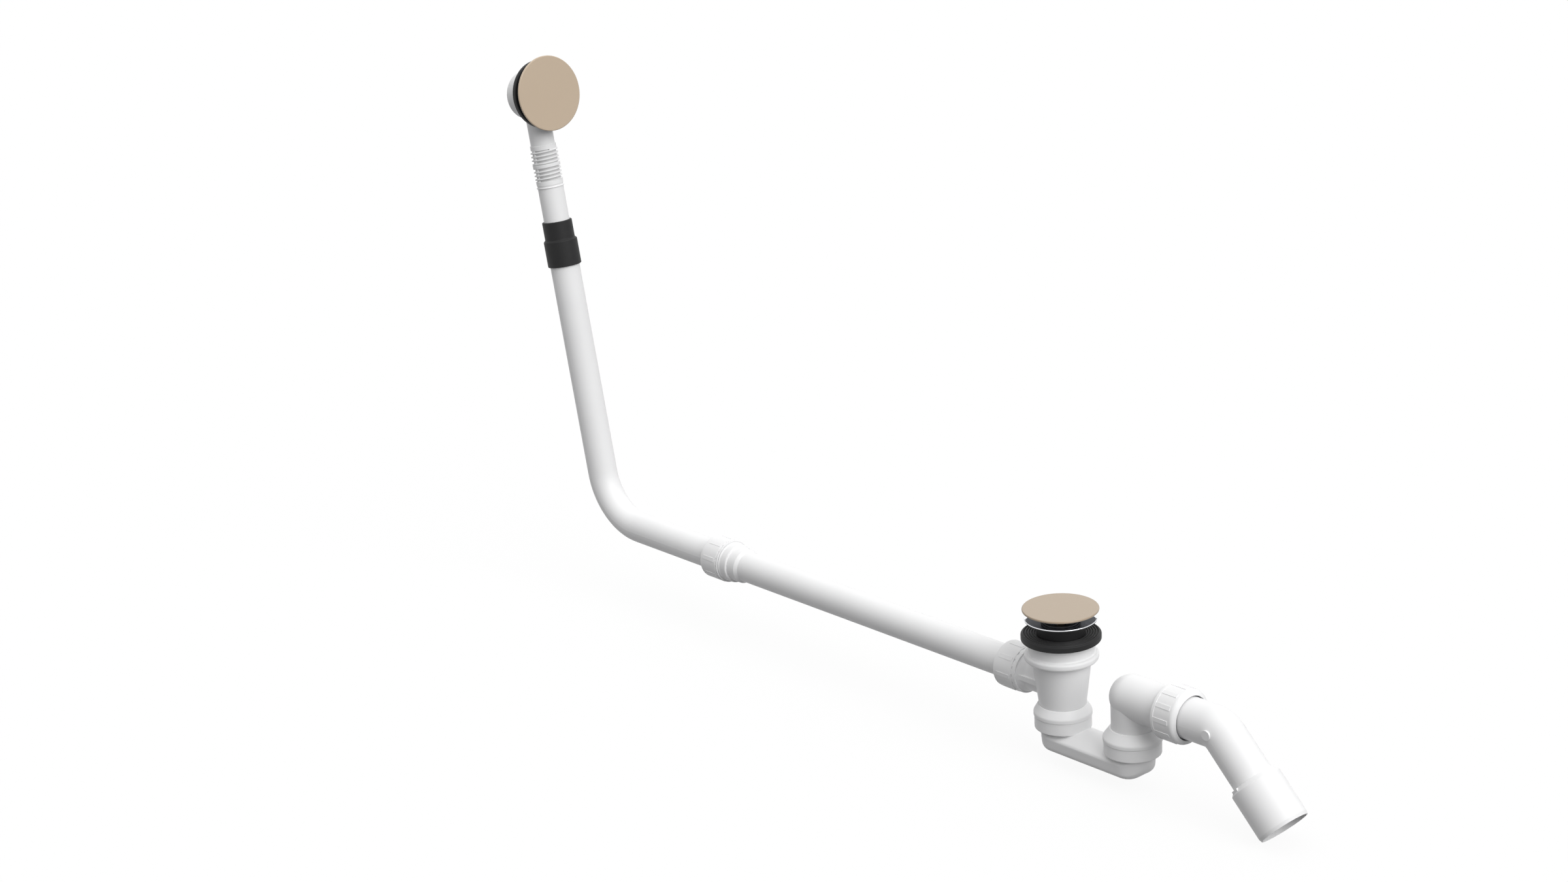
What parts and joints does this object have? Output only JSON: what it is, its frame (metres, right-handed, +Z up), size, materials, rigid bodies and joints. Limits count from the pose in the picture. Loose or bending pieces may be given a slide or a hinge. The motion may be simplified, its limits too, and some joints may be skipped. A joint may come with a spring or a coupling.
{
  "type": "bath waste and overflow",
  "caption": "Bath waste and overflow: plug cover over a polished dish, ribbed black gaskets, white body, bent overflow pipe to a round covered head, and a flat trap with a bent outlet.",
  "frame": {"origin": "on the waste's axis, in the plane of the profile gasket's top, which is the underside of the bath's floor", "axes": "+Z up along the waste's axis, +X along the outlet (the overflow runs along -X), +Y to the back as the picture shows it; the whole run lies in the plane y = 0"},
  "size_m": [1.0735, 0.0804, 0.5909],
  "materials": {
    "white_plastic": "satin moulded",
    "cover_coating": "satin coated",
    "black_rubber": "matt",
    "chrome": "polished",
    "steel": "plain",
    "brass": "turned",
    "carrier_plastic": "plain moulded"
  },
  "bodies": {
    "waste": {"waste_body": "white_plastic", "hub_bush": "brass", "profile_gasket": "black_rubber", "flange_seal": "black_rubber", "waste_flange": "chrome", "clamp_screw": "chrome", "click_spring": "steel", "branch_nut": "white_plastic", "branch_seal": "black_rubber", "lower_pipe": "white_plastic", "coupling_nut": "white_plastic", "coupling_seal": "black_rubber", "overflow_pipe": "white_plastic", "rubber_sleeve": "black_rubber", "overflow_connector": "white_plastic", "overflow_body": "white_plastic", "head_bush": "brass", "wall_gasket": "black_rubber", "wall_flange": "chrome", "head_screw": "steel", "overflow_cover": "cover_coating"},
    "plug": {"waste_cover": "cover_coating", "seal_carrier": "carrier_plastic", "plug_seal": "black_rubber", "plug_stem": "brass"},
    "trap": {"trap_cup": "white_plastic", "trap_inlet_ring": "white_plastic", "trap_inlet_seal": "black_rubber", "trap_outlet_ring": "white_plastic", "trap_outlet_seal": "black_rubber"},
    "outlet": {"outlet_elbow": "white_plastic", "outlet_nut": "white_plastic", "outlet_seal": "black_rubber", "slip_washer": "carrier_plastic", "outlet_bend": "white_plastic", "drain_sleeve": "white_plastic"}
  },
  "joints": [
    {"name": "plug_lift", "type": "slide", "parent": "waste", "child": "plug", "axis": [0, 0, 1], "range_m": [-0.0067, 0], "stiffness_N_per_m": 400, "springref_m": 0.01, "deforming": ["click_spring"]},
    {"name": "trap_swivel", "type": "hinge", "parent": "waste", "child": "trap", "pos_m": [0, 0, -0.09], "axis": [0, 0, 1], "range_deg": [-90, 90]},
    {"name": "outlet_swivel", "type": "hinge", "parent": "trap", "child": "outlet", "pos_m": [0.089, 0, -0.08], "axis": [0, 0, 1], "range_deg": [-90, 90]}
  ]
}
